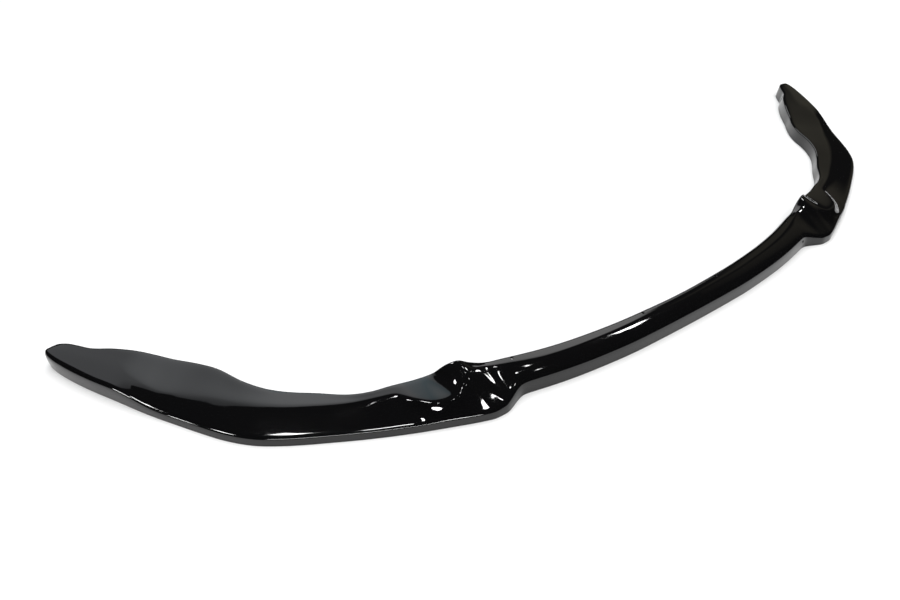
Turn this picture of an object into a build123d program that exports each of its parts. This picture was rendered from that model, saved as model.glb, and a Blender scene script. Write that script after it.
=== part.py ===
from collections import namedtuple
from build123d import *
import os

os.makedirs("parts", exist_ok=True)

# Front splitter lip: one thermoformed shell, open underneath and along the back of the centre strip.
# X runs across the car, Y to the rear, Z up. The lip rests on Z = 0, with the origin under the
# middle of its outline. Plan points below are measured from the middle of its front edge.

DEPTH = 493.0         # from the front edge back to the tips
WALL = 4.0            # sheet thickness
DRAFT = 3.0           # lean of the rear wall over its height
LIP_R = 3.0           # rounding of the rear edge
SECTIONS = 60         # evenly spaced sections from the centre to the tip
HOLE_D = 5.0          # screw holes in the strip's flange
HOLES = ((87.0, 37.3), (325.0, 72.5))
TIP_BOSS = (888.5, 488.0)
BOSS_D, BOSS_H = 10.0, 22.0

# One row for each station from the centre out to the tip.
# front, rear: plan points of the lower front edge and of the rear edge
# band, lean: height of the upright lower face, and how far it leans back over that height
# nose: rounding of the lower face's upper edge
# crest, crest_z: where the sloped face meets the top face, as a share of the depth, and its height
# round: rounding of that crest
# rear_z: height of the rear edge; foot: height of the rear wall's lower edge, clear of the floor
# sag, dish: hollow of the sloped face and of the top face; a negative one swells
Station = namedtuple("Station", "front rear band lean nose crest crest_z round rear_z foot sag dish")

STATIONS = [
    # centre strip, with no rear wall
    Station((0, 0), (0, 42), 25, 4, 7, 0.62, 34.5, 3, 34.5, 30.5, -2.2, 0),
    Station((110, 1.4), (110, 46), 25, 4, 7, 0.62, 34.5, 3, 34.5, 30.5, -2.2, 0),
    Station((205, 8.4), (205, 55), 25, 4, 7, 0.62, 35, 3, 35, 31, -2.2, 0),
    Station((275, 18), (275, 67), 26, 4, 7, 0.64, 35.5, 3, 35.5, 31.5, -2.2, 0),
    Station((313, 25.6), (313, 76.5), 26, 4, 7, 0.67, 36, 3, 36, 32, -2.2, 0),
    # step forward to the wing, with the rib that rises to the hump
    Station((334, 29.2), (336, 83), 25, 4, 7, 0.71, 36, 4, 36, 32, -2.0, 0),
    Station((346, 26), (352, 87.5), 23, 4, 7, 0.76, 36.5, 5, 36, 31, -0.5, 0),
    Station((361, 19.4), (369, 93.5), 19.5, 4, 6.5, 0.80, 38, 6, 37, 20, 1.6, 0),
    Station((375, 14.9), (386, 101), 16.5, 3, 6, 0.76, 41.5, 6, 41.5, 1.5, -0.8, 0),
    Station((391, 15), (404, 106), 15, 2.5, 6, 0.66, 42.5, 7, 51.5, 1.5, 1.0, -1),
    Station((409, 19.8), (421, 111), 14.5, 2, 6, 0.54, 37.5, 6, 47.5, 1.5, 2.0, 0),
    Station((432, 28), (441, 116.5), 14.5, 2, 6, 0.36, 34.5, 6, 35.5, 1.5, 2.0, 0.5),
    # wing: pad beside the rib, then the sloped blade with a narrow top face behind it
    Station((462, 39.7), (466, 122.5), 14.5, 2, 6, 0.28, 32.7, 6, 32.8, 1.5, 2.6, 0),
    Station((483, 48), (487, 129.5), 14.5, 2, 6, 0.33, 31, 6, 31, 1.5, 2.4, 0),
    Station((501, 55.3), (503, 135.3), 14.5, 2, 6, 0.65, 29, 5, 29.2, 1.5, 1.4, 0.1),
    Station((525, 65.7), (524, 141.5), 14.5, 2, 6, 0.69, 26.7, 8, 27, 1.5, 1.2, 0.2),
    Station((567, 85.4), (554, 157), 14.5, 2, 6, 0.66, 23.7, 10, 24, 1.5, 0.8, 0.3),
    Station((615, 110), (589, 186), 14.5, 2, 6, 0.62, 22.8, 11, 22, 1.5, 0.2, 0.2),
    Station((660, 134.5), (622, 210), 14.5, 2, 6, 0.60, 23.2, 11, 22.5, 1.5, 0, 0.3),
    Station((698, 160), (648, 233.5), 14.3, 2, 6, 0.57, 23.8, 10, 24.3, 1.5, 0, 0.5),
    Station((727, 189), (671, 266.5), 14, 2, 6, 0.51, 24, 9, 25.5, 1.5, 0, 0.7),
    Station((752, 222), (690, 307.5), 14, 2, 6, 0.42, 24, 8, 25.5, 1.5, 0, 0.8),
    Station((778, 259.5), (715, 341), 14, 2, 6, 0.32, 24, 7, 24.5, 1.5, 0, 0.8),
    Station((799, 290.3), (738, 364), 15.5, 2, 6, 0.26, 25.3, 6, 25.5, 1.5, 0, 0.8),
    # tip: a raised pod whose top face reaches the outer edge
    Station((818, 321), (760, 389), 25, 2, 7, 0.30, 28.3, 8, 27.5, 1.5, 0, 0.6),
    Station((838, 354.7), (785, 414.5), 31, 1, 6, 0.42, 30.5, 9, 29.5, 1.5, 0, 0.4),
    Station((860, 391), (811, 436.5), 31.2, 0.5, 5, 0.50, 30.4, 9, 29.5, 1.5, 0, 0.2),
    Station((884, 436), (835, 452), 30.6, 0.5, 5, 0.50, 30, 8, 29.5, 1.5, 0, 0.1),
    Station((896.5, 466), (853, 472.5), 30.2, 0.5, 5, 0.50, 29.8, 7, 29.5, 1.5, 0, 0),
    Station((900.5, 482), (866, 486), 29.6, 0.5, 5, 0.50, 29.4, 6, 29, 1.5, 0, 0),
    Station((897, 491), (881, 493), 28.5, 0.5, 4, 0.50, 28.3, 4, 28, 1.5, 0, 0),
]


def smooth(xs, ys):
    """Curve through the points that never swings past them: cubic pieces with limited slopes."""
    run = [b - a for a, b in zip(xs, xs[1:])]
    rise = [(b - a) / h for a, b, h in zip(ys, ys[1:], run)]
    slope = [rise[0]]
    for h0, h1, d0, d1 in zip(run, run[1:], rise, rise[1:]):
        w0, w1 = 2 * h1 + h0, h1 + 2 * h0
        slope.append((w0 + w1) / (w0 / d0 + w1 / d1) if d0 * d1 > 0 else 0.0)
    slope.append(rise[-1])

    def value(x):
        i = max(k for k in range(len(run)) if xs[k] <= x or k == 0)
        h = run[i]
        t = (x - xs[i]) / h
        ends = ys[i] * (1 + 2 * t) * (1 - t) ** 2 + ys[i + 1] * t * t * (3 - 2 * t)
        return ends + h * (slope[i] * t * (1 - t) ** 2 + slope[i + 1] * t * t * (t - 1))

    return value


def toward(start, end, distance):
    return start + (end - start).normalized() * distance


def corner(before, point, after, reach):
    """The two points at which a rounded corner leaves its neighbours."""
    return (
        toward(point, before, min(reach, 0.45 * (before - point).length)),
        toward(point, after, min(reach, 0.45 * (after - point).length)),
    )


def skin(row, depth, sheet):
    """Corner points of one side of the sheet, from the front floor edge over to the rear foot."""
    sole = Vector(sheet, 0)
    edge = Vector(row.lean + sheet, row.band - 0.8 * sheet)
    crest = Vector(max(depth * row.crest, edge.X + 1), row.crest_z - sheet)
    lip = Vector(max(depth - DRAFT - sheet, crest.X + 1), row.rear_z - sheet)
    heel = Vector(max(depth - sheet, lip.X + 0.2), row.foot)
    slope_mid = (edge + crest) / 2 - Vector(0, row.sag)
    top_mid = (crest + lip) / 2 - Vector(0, row.dish)
    return sole, edge, slope_mid, crest, top_mid, lip, heel


def edge_of(place, *points):
    """A straight edge through two points, or a curve shaped by three."""
    spots = [place(p) for p in points]
    return Bezier(*spots) if len(spots) == 3 else Line(*spots)


def upper_side(row, points, place):
    """Edges of the sheet's upper side, with its corners rounded."""
    sole, edge, slope_mid, crest, top_mid, lip, heel = points
    a1, b1 = corner(sole, edge, slope_mid, row.nose)
    a2, b2 = corner(slope_mid, crest, top_mid, row.round)
    a3, b3 = corner(top_mid, lip, heel, LIP_R)
    return [
        edge_of(place, sole, a1),
        edge_of(place, a1, edge, b1),
        edge_of(place, b1, slope_mid, a2),
        edge_of(place, a2, crest, b2),
        edge_of(place, b2, top_mid, a3),
        edge_of(place, a3, lip, b3),
        edge_of(place, b3, heel),
    ]


def under_side(points, place):
    """Edges of the sheet's underside, whose inner corners come out sharp at this thickness."""
    sole, edge, slope_mid, crest, top_mid, lip, heel = points
    return [
        edge_of(place, sole, edge),
        edge_of(place, edge, slope_mid, crest),
        edge_of(place, crest, lip),
        edge_of(place, lip, heel),
    ]


def section(row):
    """Closed profile of the sheet at one station, in the upright plane through its two plan points."""
    across = Vector(*row.rear) - Vector(*row.front)
    start = Vector(*row.front) - Vector(0, DEPTH / 2)
    plane = Plane(origin=start, x_dir=across, z_dir=across.cross(Vector(0, 0, 1)))
    place = plane.from_local_coords
    upper = upper_side(row, skin(row, across.length, 0), place)
    under = under_side(skin(row, across.length, WALL), place)
    joins = [Line(upper[-1] @ 1, under[-1] @ 1), Line(under[0] @ 0, upper[0] @ 0)]
    return Face(Wire(upper + under + joins))


def mirrored(row):
    return row._replace(front=(-row.front[0], row.front[1]), rear=(-row.rear[0], row.rear[1]))


def spread(rows):
    """Even steps from the centre to the tip. A mirrored station keeps the lip square at the centre."""
    flat = [(*row.front, *row.rear, *row[2:]) for row in [mirrored(rows[1])] + rows]
    middle = [Vector((v[0] + v[2]) / 2, (v[1] + v[3]) / 2) for v in flat]
    along = [0.0]
    for p, q in zip(middle, middle[1:]):
        along.append(along[-1] + (q - p).length)
    curves = [smooth(along, column) for column in zip(*flat)]
    reach = along[-1] - along[1]
    steps = [along[1] + reach * i / SECTIONS for i in range(SECTIONS + 1)]
    values = [[curve(s) for curve in curves] for s in steps]
    return [Station((v[0], v[1]), (v[2], v[3]), *v[4:]) for v in values]


with BuildPart() as splitter_lip:
    # one side of the lip, from the centre to the tip
    loft([section(row) for row in spread(STATIONS)])
    # solid boss that closes the rounded end of the tip
    with Locations((TIP_BOSS[0], TIP_BOSS[1] - DEPTH / 2, 0)):
        Cylinder(BOSS_D / 2, BOSS_H, align=(Align.CENTER, Align.CENTER, Align.MIN))
    with Locations(*[(x, y - DEPTH / 2, 20) for x, y in HOLES]):
        Cylinder(HOLE_D / 2, 30, align=(Align.CENTER, Align.CENTER, Align.MIN), mode=Mode.SUBTRACT)
    mirror(about=Plane.YZ)

splitter_lip.part.label = "splitter_lip"
export_step(splitter_lip.part, "parts/splitter_lip.step")
print("volume", round(splitter_lip.part.volume), "box", splitter_lip.part.bounding_box())
print("solids", len(splitter_lip.part.solids()), "faces", len(splitter_lip.part.faces()))
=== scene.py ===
# %% [markdown]
# # Front splitter lip
# A gloss black lip that screws under a car's front bumper. It is one moulded sheet, so the scene has
# one piece. Most of the look comes from what the sheet mirrors, so the room around it gets as much
# care as the sheet.

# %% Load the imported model
import math
from collections import namedtuple
import bmesh
import bpy
from mathutils import Matrix, Vector


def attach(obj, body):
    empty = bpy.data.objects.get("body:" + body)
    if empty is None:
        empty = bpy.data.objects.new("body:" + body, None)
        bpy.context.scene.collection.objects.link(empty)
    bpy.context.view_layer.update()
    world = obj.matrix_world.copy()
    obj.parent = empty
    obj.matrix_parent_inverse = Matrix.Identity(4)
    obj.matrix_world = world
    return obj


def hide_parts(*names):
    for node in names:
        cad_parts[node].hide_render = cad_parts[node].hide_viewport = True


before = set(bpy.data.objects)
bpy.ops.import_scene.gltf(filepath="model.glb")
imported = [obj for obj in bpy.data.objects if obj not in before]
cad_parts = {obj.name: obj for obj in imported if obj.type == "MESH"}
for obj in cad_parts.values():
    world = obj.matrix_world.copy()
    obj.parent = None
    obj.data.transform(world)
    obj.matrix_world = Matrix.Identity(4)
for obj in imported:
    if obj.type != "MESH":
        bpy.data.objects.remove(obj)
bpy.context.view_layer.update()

# %% [markdown]
# ## Camera
# The lens and the place of the camera were worked out from the lip's mirror symmetry: it stands at
# table height near the left tip and looks down along the lip. Setting the matrix from plain turns
# keeps the three angles readable.

# %% Camera at the photograph's view
HEADING, PITCH, ROLL = 33.923, 39.961, 0.08   # degrees to the right, downwards and of tilt
STANDS_AT = (-0.8170, -0.7409, 0.7721)        # metres
view = bpy.data.cameras.new("view")
view.sensor_width = 36
view.lens = 28.146
view.clip_start = 0.01
camera = bpy.data.objects.new("view", view)
turn = (Matrix.Rotation(math.radians(-HEADING), 4, "Z")
        @ Matrix.Rotation(math.radians(90 - PITCH), 4, "X")
        @ Matrix.Rotation(math.radians(ROLL), 4, "Z"))
camera.matrix_world = Matrix.Translation(STANDS_AT) @ turn
bpy.context.collection.objects.link(camera)
bpy.context.scene.camera = camera
bpy.context.scene.view_settings.view_transform = "Standard"
print("camera", [round(c, 3) for c in camera.location])

# %% [markdown]
# ## Helpers for materials
# One function turns an sRGB hex colour to linear light and one adds a node with its links and its
# settings, which are properties of the node or values of its inputs. So each material below reads as
# a short list.


# %% Colour and node helpers
def linear(hex_colour):
    parts = [int(hex_colour[i:i + 2], 16) / 255 for i in (1, 3, 5)]
    return [c / 12.92 if c <= 0.04045 else ((c + 0.055) / 1.055) ** 2.4 for c in parts] + [1.0]


def add(tree, kind, links=(), **settings):
    node = tree.nodes.new(kind)
    for name, value in settings.items():
        if hasattr(node, name):
            setattr(node, name, value)
        else:
            node.inputs[name.replace("_", " ")].default_value = value
    for socket, source in links:
        tree.links.new(source, node.inputs[socket])
    return node


def new_material(name):
    material = bpy.data.materials.new(name)
    material.use_nodes = True
    material.node_tree.nodes.clear()
    return material, material.node_tree


print("mid grey in linear light", round(linear("#808080")[0], 3))

# %% [markdown]
# ## The sheet's shape
# The real lip is one sheet formed over a tool: a bowed strip in the middle, a step forward on each
# side with a rib that rises to a hump, and a long wing that sweeps back to a raised tip. It could be
# pulled out of a plane and sculpted, but a lip is drawn by its cross sections, so a table holds one
# row of plain sizes for each station along it, in millimetres, and the sheet is lofted through them.

# %% Stations along one half
# front, rear: plan points of the lower front edge and of the rear edge
# band, lean: height of the upright lower face, and how far it leans back over that height
# nose: rounding of the lower face's upper edge
# crest, crest_z: where the sloped face meets the top face, as a share of the depth, and its height
# round: rounding of that crest
# rear_z: height of the rear edge; foot: height of the rear wall's lower edge
# sag, dish: hollow of the sloped face and of the top face; a negative one swells
DEPTH = 493.0       # from the front edge back to the tips
WALL = 4.0          # sheet thickness
DRAFT = 3.0         # lean of the rear wall over its height
LIP_R = 3.0         # rounding of the rear edge
Station = namedtuple("Station", "front rear band lean nose crest crest_z round rear_z foot sag dish")
STATIONS = [
    # centre strip, with no rear wall
    Station((0, 0), (0, 42), 25, 4, 9, 0.62, 34.5, 3, 34.5, 30.5, -2.2, 0),
    Station((110, 1.4), (110, 46), 25, 4, 9, 0.62, 34.5, 3, 34.5, 30.5, -2.2, 0),
    Station((205, 8.4), (205, 55), 25, 4, 9, 0.62, 35, 3, 35, 31, -2.2, 0),
    Station((275, 18), (275, 67), 26, 4, 9, 0.64, 35.5, 3, 35.5, 31.5, -2.2, 0),
    Station((313, 25.6), (313, 76.5), 26, 4, 9, 0.67, 36, 3, 36, 32, -2.2, 0),
    # step forward to the wing, with the rib that rises to the hump
    Station((334, 29.2), (336, 83), 25, 4, 9, 0.71, 36, 4, 36, 32, -2.0, 0),
    Station((346, 26), (352, 87.5), 23, 4, 9, 0.76, 36.5, 5, 36, 31, -0.5, 0),
    Station((361, 19.4), (369, 93.5), 19.5, 4, 6.5, 0.80, 38, 6, 37, 20, 1.6, 0),
    Station((375, 14.9), (386, 101), 16.5, 3, 6, 0.76, 41.5, 6, 41.5, 1.5, -0.8, 0),
    Station((391, 15), (404, 106), 15, 2.5, 6, 0.66, 42.5, 7, 51.5, 1.5, 1.0, -1),
    Station((409, 19.8), (421, 111), 14.5, 2, 6, 0.50, 37.5, 6, 47.5, 1.5, 2.0, 0),
    Station((432, 28), (441, 116.5), 14.5, 2, 6, 0.30, 34.5, 4, 35.5, 1.5, 2.0, 0.5),
    # wing: pad beside the rib, then the sloped blade with a narrow top face behind it
    Station((462, 39.7), (466, 122.5), 14.5, 2, 6, 0.25, 32.7, 4, 32.8, 1.5, 2.6, 0),
    Station((483, 48), (487, 129.5), 14.5, 2, 6, 0.42, 31, 5, 31, 1.5, 2.4, 0),
    Station((501, 55.3), (503, 135.3), 14.5, 2, 6, 0.67, 29, 5, 29.2, 1.5, 1.4, 0.1),
    Station((525, 65.7), (524, 141.5), 13.8, 3.5, 6, 0.69, 26.7, 8, 27, 1.5, 1.2, 0.2),
    Station((567, 85.4), (554, 157), 13.8, 3.5, 6, 0.66, 23.7, 10, 24, 1.5, 0.8, 0.3),
    Station((615, 110), (589, 186), 13.8, 3.5, 6, 0.62, 22.8, 11, 22, 1.5, 0.2, 0.2),
    Station((660, 134.5), (622, 210), 13.8, 3.5, 6, 0.60, 23.2, 11, 22.5, 1.5, 0, 0.3),
    Station((698, 160), (648, 233.5), 13.8, 3.5, 6, 0.57, 23.8, 10, 24.3, 1.5, 0, 0.5),
    Station((727, 189), (671, 266.5), 13.6, 3.5, 6, 0.51, 24, 9, 25.5, 1.5, 0, 0.7),
    Station((752, 222), (690, 307.5), 13.6, 3.3, 6, 0.42, 24, 8, 25.5, 1.5, 0, 0.8),
    Station((778, 259.5), (715, 341), 13.6, 3, 6, 0.32, 24, 7, 24.5, 1.5, 0, 0.8),
    Station((799, 290.3), (738, 364), 15.5, 2, 6, 0.26, 25.3, 6, 25.5, 1.5, 0, 0.8),
    # tip: a raised pod whose top face reaches the outer edge
    Station((818, 321), (760, 389), 22.5, 2.5, 7, 0.30, 28, 8, 27.5, 1.5, 0, 0.6),
    Station((838, 354.7), (785, 414.5), 27, 2, 6, 0.42, 29.8, 9, 29.5, 1.5, 0, 0.4),
    Station((860, 391), (811, 436.5), 27, 1.5, 6, 0.50, 29.6, 9, 29.5, 1.5, 0, 0.2),
    Station((884, 436), (835, 452), 27.3, 1.5, 6, 0.50, 29.5, 8, 29.5, 1.5, 0, 0.1),
    Station((896.5, 466), (853, 472.5), 27.8, 1, 5, 0.50, 29.4, 7, 29.5, 1.5, 0, 0),
    Station((900.5, 482), (866, 486), 28, 1, 5, 0.50, 29, 6, 29, 1.5, 0, 0),
    Station((897, 491), (881, 493), 27.8, 0.5, 4, 0.50, 28.3, 4, 28, 1.5, 0, 0),
]
print("stations", len(STATIONS))

# %% [markdown]
# ## Rows read off the table
# Subdivision keeps its shape best when the rows of a cage change their spacing slowly. The strip and
# the wing are calm, so their rows stand wide apart; the step, the rib and the tip get close ones.
# The curve between two stations has limited slopes, so it never swings past them.


# %% Rows along the lip
def smooth(xs, ys):
    run = [b - a for a, b in zip(xs, xs[1:])]
    rise = [(b - a) / h for a, b, h in zip(ys, ys[1:], run)]
    slope = [rise[0]]
    for h0, h1, d0, d1 in zip(run, run[1:], rise, rise[1:]):
        w0, w1 = 2 * h1 + h0, h1 + 2 * h0
        slope.append((w0 + w1) / (w0 / d0 + w1 / d1) if d0 * d1 > 0 else 0.0)
    slope.append(rise[-1])

    def value(x):
        i = max(k for k in range(len(run)) if xs[k] <= x or k == 0)
        h = run[i]
        t = (x - xs[i]) / h
        ends = ys[i] * (1 + 2 * t) * (1 - t) ** 2 + ys[i + 1] * t * t * (3 - 2 * t)
        return ends + h * (slope[i] * t * (1 - t) ** 2 + slope[i + 1] * t * t * (t - 1))

    return value


def mirrored(row):
    return row._replace(front=(-row.front[0], row.front[1]), rear=(-row.rear[0], row.rear[1]))


def spread(rows):
    flat = [(*row.front, *row.rear, *row[2:]) for row in [mirrored(rows[1])] + rows]
    middle = [Vector(((v[0] + v[2]) / 2, (v[1] + v[3]) / 2)) for v in flat]
    along = [0.0]
    for p, q in zip(middle, middle[1:]):
        along.append(along[-1] + (q - p).length)
    curves = [smooth(along, column) for column in zip(*flat)]
    reach = along[-1] - along[1]
    # distances from the centre, and the space between rows there
    gap = smooth([0, 280, 340, 500, 580, 860, 940, reach + 50], [20, 20, 6.5, 6.5, 13, 13, 8, 8])
    marks = [0.0]
    while marks[-1] < reach:
        marks.append(marks[-1] + gap(marks[-1]))
    values = [[curve(along[1] + mark * reach / marks[-1]) for curve in curves] for mark in marks]
    return [Station((v[0], v[1]), (v[2], v[3]), *v[4:]) for v in values]


rows = spread(STATIONS)
print("rows", len(rows))


# %% [markdown]
# ## One cross section
# Each section is a closed loop: up the slightly bulging lower face, over the rounded edge, along the
# hollow slope, over the crest, along the top face, round the rear edge and down the rear wall, then
# back along the underside. Straight pieces with fillets would do, but quadratic curves need only one
# point for each bend. The underside's corners are sharp, because the sheet is as thick as they are
# round. At the tip the hollow's roof falls to the rim, so the lip ends solid.


# %% Section loop
BELLY_HEIGHT, BELLY_OUT = 0.62, 0.07    # of the lower face's bulge, as shares of that face's height
BELLY_LEAN = 0.4                        # share of the lean that the bulge keeps
CORNER_LIMIT = 0.45                     # a rounding takes no more than this share of a side


def bend(a, b, c, shares):
    return [a * (1 - t) ** 2 + b * 2 * t * (1 - t) + c * t * t for t in shares]


def corner(before, point, after, reach):
    back, on = before - point, after - point
    return [point + side * min(reach / side.length, CORNER_LIMIT) for side in (back, on)]


def skin(row, depth, sheet):
    # sheet is 0 for the upper side and the wall's thickness for the underside
    sole = Vector((sheet, 0))
    edge = Vector((row.lean + sheet, row.band - 0.8 * sheet))
    crest = Vector((max(depth * row.crest, edge.x + 1), row.crest_z - sheet))
    lip = Vector((max(depth - DRAFT - sheet, crest.x + 1), row.rear_z - sheet))
    heel = Vector((max(depth - sheet, lip.x + 0.2), row.foot))
    slope_mid = (edge + crest) / 2 - Vector((0, row.sag))
    top_mid = (crest + lip) / 2 - Vector((0, row.dish))
    return sole, edge, slope_mid, crest, top_mid, lip, heel


def loop_points(row, solid):
    front, rear = Vector(row.front), Vector(row.rear)
    across = rear - front
    sole, edge, slope_mid, crest, top_mid, lip, heel = skin(row, across.length, 0)
    belly = Vector((BELLY_LEAN * row.lean - BELLY_OUT * row.band, BELLY_HEIGHT * row.band))
    a1, b1 = corner(belly, edge, slope_mid, row.nose)
    a2, b2 = corner(slope_mid, crest, top_mid, row.round)
    a3, b3 = corner(top_mid, lip, heel, LIP_R)
    upper = [*bend(sole, belly, a1, (0, 0.5)), *bend(a1, edge, b1, (0, 0.33, 0.67, 1)),
             *bend(b1, slope_mid, a2, (0.25, 0.5, 0.75)), *bend(a2, crest, b2, (0, 0.5, 1)),
             *bend(b2, top_mid, a3, (0.33, 0.67)), *bend(a3, lip, b3, (0, 0.5, 1)),
             (b3 + heel) / 2, heel]
    sole, edge, slope_mid, crest, top_mid, lip, heel = skin(row, across.length, WALL)
    under = [heel, lip, (crest + lip) / 4 + top_mid / 2, crest,
             (edge + crest) / 4 + slope_mid / 2, edge, sole]
    flat = upper + [p.lerp(Vector((p.x, row.foot * p.x / heel.x)), solid) for p in under]
    way = across.normalized()
    return [((front.x + way.x * p.x) / 1000, (front.y - DEPTH / 2 + way.y * p.x) / 1000, p.y / 1000)
            for p in flat]


print("points in a section", len(loop_points(rows[0], 0)))

# %% [markdown]
# ## Loft
# The real sheet is drawn over its tool in one go. Here neighbouring loops are bridged, the tip is
# closed, and the half is mirrored across the car's centre plane. A curve with a bevel profile would
# sweep one section along a path, but these sections change all the way. Each point keeps its number in
# the loop, so that the rims can be found again.

# %% Loft and mirror
END_ROWS = 3                # rows over which the hollow closes at the tip
CLOSE = 1e-5                # points nearer than this, in metres, become one
cage = bmesh.new()
spot = cage.verts.layers.int.new("spot")
rings = []
for left, row in enumerate(rows, 1 - len(rows)):
    verts = [cage.verts.new(p) for p in loop_points(row, max(0, 1 + left / END_ROWS))]
    for number, vert in enumerate(verts):
        vert[spot] = number
    rings.append([cage.edges.new(pair) for pair in zip(verts, verts[1:] + verts[:1])])
for ring, following in zip(rings, rings[1:]):
    bmesh.ops.bridge_loops(cage, edges=ring + following)
bmesh.ops.edgeloop_fill(cage, edges=rings[-1])
half = cage.verts[:] + cage.edges[:] + cage.faces[:]
bmesh.ops.mirror(cage, geom=half, axis="X", merge_dist=CLOSE)
bmesh.ops.remove_doubles(cage, verts=cage.verts[:], dist=CLOSE)
bmesh.ops.recalc_face_normals(cage, faces=cage.faces[:])
print("cage faces", len(cage.faces))

# %% [markdown]
# ## Rounding
# A moulded sheet has no hard edges but its rims, which are trimmed square. Two levels of subdivision
# round the cage, and creases hold the two lower rims. A bevel would need its own width at each edge.

# %% Creases and rounding
RIMS = {0, 18, 19, 25}      # the points of a loop at its two lower rims
crease = cage.edges.layers.float.new("crease_edge")
for edge in cage.edges:
    ends = {vert[spot] for vert in edge.verts}
    edge[crease] = 1.0 if len(ends) == 1 and ends <= RIMS else 0.0
for face in cage.faces:
    face.smooth = True
shape = bpy.data.meshes.new("splitter_lip_sheet")
cage.to_mesh(shape)
cage.free()
lip = bpy.data.objects.new("splitter_lip_sheet", shape)
bpy.context.collection.objects.link(lip)
rounding = lip.modifiers.new("rounding", "SUBSURF")
rounding.levels = rounding.render_levels = 2
print("creased edges", sum(value.value > 0 for value in shape.attributes["crease_edge"].data))

# %% [markdown]
# ## Screw holes
# The lip is screwed up into the bumper through small holes in the strip's flange. A hole cut into the
# cage would pucker the glossy face when it is subdivided, so the rounded sheet is drilled instead and
# kept as a plain mesh. Its trimmed rims and its holes stay sharp, and all else is shaded smooth.

# %% Drill bits
HOLE_D = 5.0
HOLES = ((87.0, 37.3), (325.0, 72.5))     # plan points on one half
DRILL_Z, DRILL_LENGTH = 0.035, 0.03       # metres
bits = bmesh.new()
for x, y in HOLES:
    for side in (-1, 1):
        centre = Matrix.Translation((side * x / 1000, (y - DEPTH / 2) / 1000, DRILL_Z))
        bmesh.ops.create_cone(bits, cap_ends=True, segments=32, radius1=HOLE_D / 2000,
                              radius2=HOLE_D / 2000, depth=DRILL_LENGTH, matrix=centre)
bit_mesh = bpy.data.meshes.new("bits")
bits.to_mesh(bit_mesh)
bits.free()
drill = bpy.data.objects.new("bits", bit_mesh)
bpy.context.collection.objects.link(drill)
print("bits", len(HOLES) * 2)

# %% Drill the flange
SHARP = 60      # degrees
cut = lip.modifiers.new("drill", "BOOLEAN")
cut.operation, cut.solver, cut.object = "DIFFERENCE", "EXACT", drill
graph = bpy.context.evaluated_depsgraph_get()
lip.data = bpy.data.meshes.new_from_object(lip.evaluated_get(graph), depsgraph=graph)
lip.modifiers.clear()
bpy.data.objects.remove(drill)
lip.data.set_sharp_from_angle(angle=math.radians(SHARP))
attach(lip, "root")
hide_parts("splitter_lip")
print("triangles", sum(len(face.vertices) - 2 for face in lip.data.polygons))

# %% [markdown]
# ## Gloss black ABS
# The lip is moulded in black ABS with a glossy face: a dark body under a clear, smooth skin that
# mirrors the room. A real moulding is never a perfect mirror. Its face has a faint orange peel about
# a centimetre across, which makes the edges of reflected lights swim a little, and a haze that varies
# over some centimetres with the polish of the tool. A clear coat over a base could make the skin too,
# but one glossy layer mirrors the same and bakes simply.

# %% Gloss black ABS
PEEL_SIZE, HAZE_SIZE = 0.012, 0.05      # metres
gloss_black, tree = new_material("gloss_black_abs")
where = add(tree, "ShaderNodeTexCoord")
peel = add(tree, "ShaderNodeTexNoise", [("Vector", where.outputs["Object"])],
           Scale=1 / PEEL_SIZE, Detail=1.0, Roughness=0.4)
haze = add(tree, "ShaderNodeTexNoise", [("Vector", where.outputs["Object"])],
           Scale=1 / HAZE_SIZE, Detail=2.0)
sheen = add(tree, "ShaderNodeMapRange", [("Value", haze.outputs["Fac"])],
            From_Min=0.35, From_Max=0.65, To_Min=0.03, To_Max=0.06)
skin_bump = add(tree, "ShaderNodeBump", [("Height", peel.outputs["Fac"])],
                Strength=0.02, Distance=0.001)
body = add(tree, "ShaderNodeBsdfPrincipled",
           [("Normal", skin_bump.outputs["Normal"]), ("Roughness", sheen.outputs["Result"])],
           Base_Color=linear("#09090a"), IOR=1.5)
add(tree, "ShaderNodeOutputMaterial", [("Surface", body.outputs["BSDF"])])
lip.data.materials.append(gloss_black)
print("material", gloss_black.name)

# %% [markdown]
# ## Studio
# A white paper floor under an even soft light. Gloss black shows little of its own colour, so its
# look is what it mirrors: a curved bank of light stands behind the lip, dim towards the near tip and
# bright behind the strip, and a dim, patchy brown wall closes the far side. The ceiling stays dark,
# which leaves the sloped faces black.

# %% Floor
bpy.ops.mesh.primitive_plane_add(size=8)
floor = bpy.context.object
floor.name = "floor"
paper, tree = new_material("white_paper")
matt = add(tree, "ShaderNodeBsdfPrincipled", Base_Color=linear("#f4f4f4"), Roughness=0.9)
add(tree, "ShaderNodeOutputMaterial", [("Surface", matt.outputs["BSDF"])])
floor.data.materials.append(paper)
print("floor", [round(side, 1) for side in floor.dimensions])

# %% [markdown]
# ## Walls of light
# Each wall is a piece of a ring around the lip, spun from one upright edge. Its angles are degrees
# seen from the lip: low and high above the floor, and headings from straight behind towards +X. Area
# lamps could stand there instead, but each would end in a hard edge on the gloss face.


# %% Ring of a wall
ROOM_RADIUS = 3.6       # metres


def height_at(angle):
    return ROOM_RADIUS * math.tan(math.radians(angle))


def ring_piece(name, left, right, low, high):
    x, y = ROOM_RADIUS * math.sin(left), ROOM_RADIUS * math.cos(left)
    mesh = bmesh.new()
    ends = [mesh.verts.new((x, y, height_at(angle))) for angle in (low, high)]
    edge = mesh.edges.new(ends)
    bmesh.ops.spin(mesh, geom=ends + [edge], cent=(0, 0, 0), axis=(0, 0, 1), angle=left - right, steps=48)
    shape = bpy.data.meshes.new(name)
    mesh.to_mesh(shape)
    mesh.free()
    return shape


print("ring radius", ROOM_RADIUS)

# %% [markdown]
# A ramp over the heading sets how a wall glows, and the glow fades to half towards the upper rim, as it
# does at the edge of a lit cloth. An image could hold the same picture, but a ramp keeps each heading
# readable.


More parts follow.
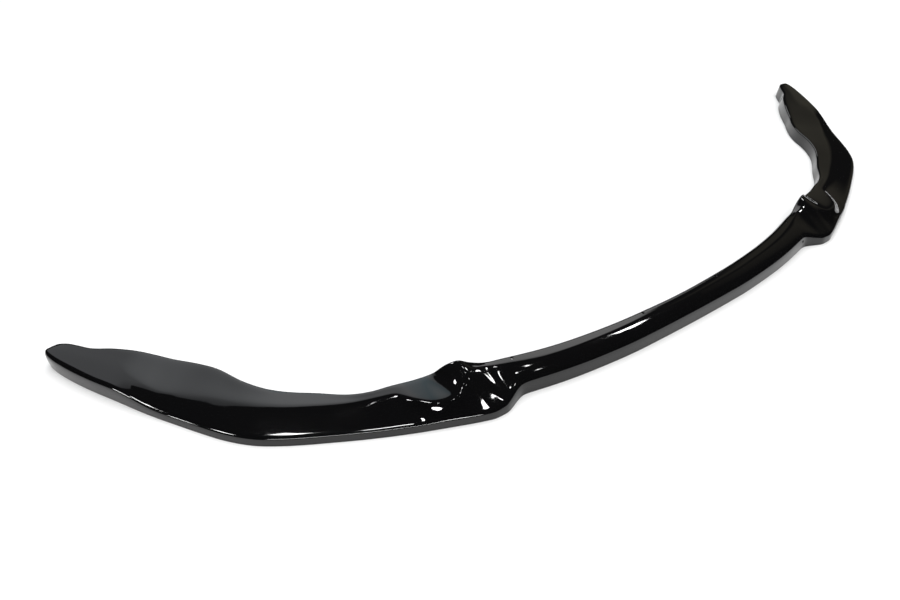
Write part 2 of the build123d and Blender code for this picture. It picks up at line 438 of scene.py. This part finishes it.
# %% Glow of a wall
FADE_FROM, FADE_TO = 0.75, 0.5      # share of the rim's height, and of the glow that is left at the rim


def glow_over(name, left, right, high, strength, levels):
    glow, tree = new_material(name + "_glow")
    where = add(tree, "ShaderNodeTexCoord")
    axes = add(tree, "ShaderNodeSeparateXYZ", [("Vector", where.outputs["Object"])])
    heading = add(tree, "ShaderNodeMath", [(0, axes.outputs["X"]), (1, axes.outputs["Y"])],
                  operation="ARCTAN2")
    share = add(tree, "ShaderNodeMapRange", [("Value", heading.outputs["Value"])],
                From_Min=left, From_Max=right)
    ramp = add(tree, "ShaderNodeValToRGB", [("Fac", share.outputs["Result"])])
    while len(ramp.color_ramp.elements) < len(levels):
        ramp.color_ramp.elements.new(1.0)
    for stop, (angle, colour) in zip(ramp.color_ramp.elements, levels):
        stop.position = (math.radians(angle) - left) / (right - left)
        stop.color = linear(colour)
    rim = height_at(high)
    fade = add(tree, "ShaderNodeMapRange", [("Value", axes.outputs["Z"])],
               From_Min=FADE_FROM * rim, From_Max=rim, To_Min=strength, To_Max=FADE_TO * strength)
    lamp = add(tree, "ShaderNodeEmission",
               [("Color", ramp.outputs["Color"]), ("Strength", fade.outputs["Result"])])
    add(tree, "ShaderNodeOutputMaterial", [("Surface", lamp.outputs["Emission"])])
    return glow


print("glow fades from", FADE_FROM, "of the rim's height")

# %% [markdown]
# The bank behind the lip is what the top faces and the flange mirror. The side wall is what the far
# wing mirrors: it is patchy, because the far blade is black beside a brown top face. Neither is seen
# by the camera or throws a shadow.


# %% Light bank and side wall
ROOM_DARK = "#191815"


def curved_wall(name, low, high, strength, levels):
    left, right = math.radians(levels[0][0]), math.radians(levels[-1][0])
    wall = bpy.data.objects.new(name, ring_piece(name, left, right, low, high))
    wall.data.materials.append(glow_over(name, left, right, high, strength, levels))
    bpy.context.collection.objects.link(wall)
    wall.visible_camera = wall.visible_shadow = False
    print(name, "panels", len(wall.data.polygons))


curved_wall("light_bank", 28, 58, 2.0, [
    (-30, "#aeb0b3"), (-12, "#aeb0b3"), (-6, "#c6c9cc"), (2, "#e4e7ea"), (10, "#fafcff"), (17, "#c8e0ea"),
    (26, "#ffffff"), (55.5, "#ffffff"), (57.5, ROOM_DARK)])
curved_wall("side_wall", 4, 46, 1.0, [
    (63, ROOM_DARK), (66, "#6b675b"), (72, "#6b675b"), (75, ROOM_DARK), (81, ROOM_DARK), (84, "#5d594e"),
    (96, "#4a473f"), (104, ROOM_DARK)])

# %% [markdown]
# ## Lamps
# The overhead light only lights the paper and isn't mirrored. The small lamps are the other way
# round: they are mirrored as the crisp white glints along the edges of the lip, and light nothing
# else. Each stands on a ray from the camera, mirrored in the sheet where the photograph has a glint.


# %% Lamps
OVERHEAD_GLARE, GLINT_GLARE = 6.2, 150      # watts for each square metre of the lamp


def lamp_at(name, stand, aim, width, height, glare, lights_paper, shows_in_gloss):
    lamp = bpy.data.lights.new(name, "AREA")
    lamp.shape = "RECTANGLE"
    lamp.size, lamp.size_y = width, height
    lamp.energy = glare * width * height
    light = bpy.data.objects.new(name, lamp)
    light.location = stand
    light.rotation_euler = (Vector(aim) - Vector(stand)).to_track_quat("-Z", "Y").to_euler()
    light.visible_diffuse, light.visible_glossy = lights_paper, shows_in_gloss
    bpy.context.collection.objects.link(light)


lamp_at("overhead", (-0.3, -0.9, 5), (-0.3, -0.8, 0), 12, 12, OVERHEAD_GLARE,
        lights_paper=True, shows_in_gloss=False)
for name, stand, aim, width, height in [
    ("tip_rim", (-3.91, 0.32, 1.67), (-0.83, 0.10, 0), 0.50, 0.30),
    ("blade_rim", (-2.96, 0.18, 2.70), (-0.73, -0.05, 0), 0.50, 0.30),
    ("front_strip", (-2.00, -3.00, 1.60), (-0.45, -0.20, 0), 3.00, 0.20),
    ("front_edge", (-0.70, -0.42, 4.00), (-0.56, -0.16, 0), 0.30, 0.30),
    ("step_front", (0.11, -1.42, 3.80), (-0.41, -0.21, 0), 0.13, 0.13),
    ("fold", (0.99, -1.06, 3.68), (-0.38, -0.21, 0), 0.09, 0.09),
    ("rib_side", (0.57, -0.14, 0.97), (-0.37, -0.18, 0), 0.05, 0.05),
    ("rib_end", (0.66, -0.39, 3.89), (-0.36, -0.19, 0), 0.09, 0.09),
    ("rib", (1.08, 0.12, 3.76), (-0.36, -0.18, 0), 0.13, 0.13),
    ("hump", (-0.88, 0.94, 3.86), (-0.42, -0.17, 0), 0.36, 0.36),
    ("strip", (2.22, 0.19, 3.25), (-0.12, -0.22, 0), 0.28, 0.28),
]:
    lamp_at("glint_" + name, stand, aim, width, height, GLINT_GLARE,
            lights_paper=False, shows_in_gloss=True)

# %% [markdown]
# ## Room
# The rest of the room is nearly black in the gloss face. The camera sees a pale ground instead,
# wherever the paper ends. One background could not be both, so the kind of ray picks between two.

# %% Room
world = bpy.data.worlds.new("room")
bpy.context.scene.world = world
world.use_nodes = True
tree = world.node_tree
tree.nodes.clear()
seen = add(tree, "ShaderNodeLightPath")
dark = add(tree, "ShaderNodeBackground", Color=linear(ROOM_DARK))
pale = add(tree, "ShaderNodeBackground", Color=linear("#fafafa"))
room = add(tree, "ShaderNodeMixShader",
           [(0, seen.outputs["Is Camera Ray"]), (1, dark.outputs[0]), (2, pale.outputs[0])])
add(tree, "ShaderNodeOutputWorld", [("Surface", room.outputs[0])])
print("world", world.name, "nodes", len(tree.nodes))
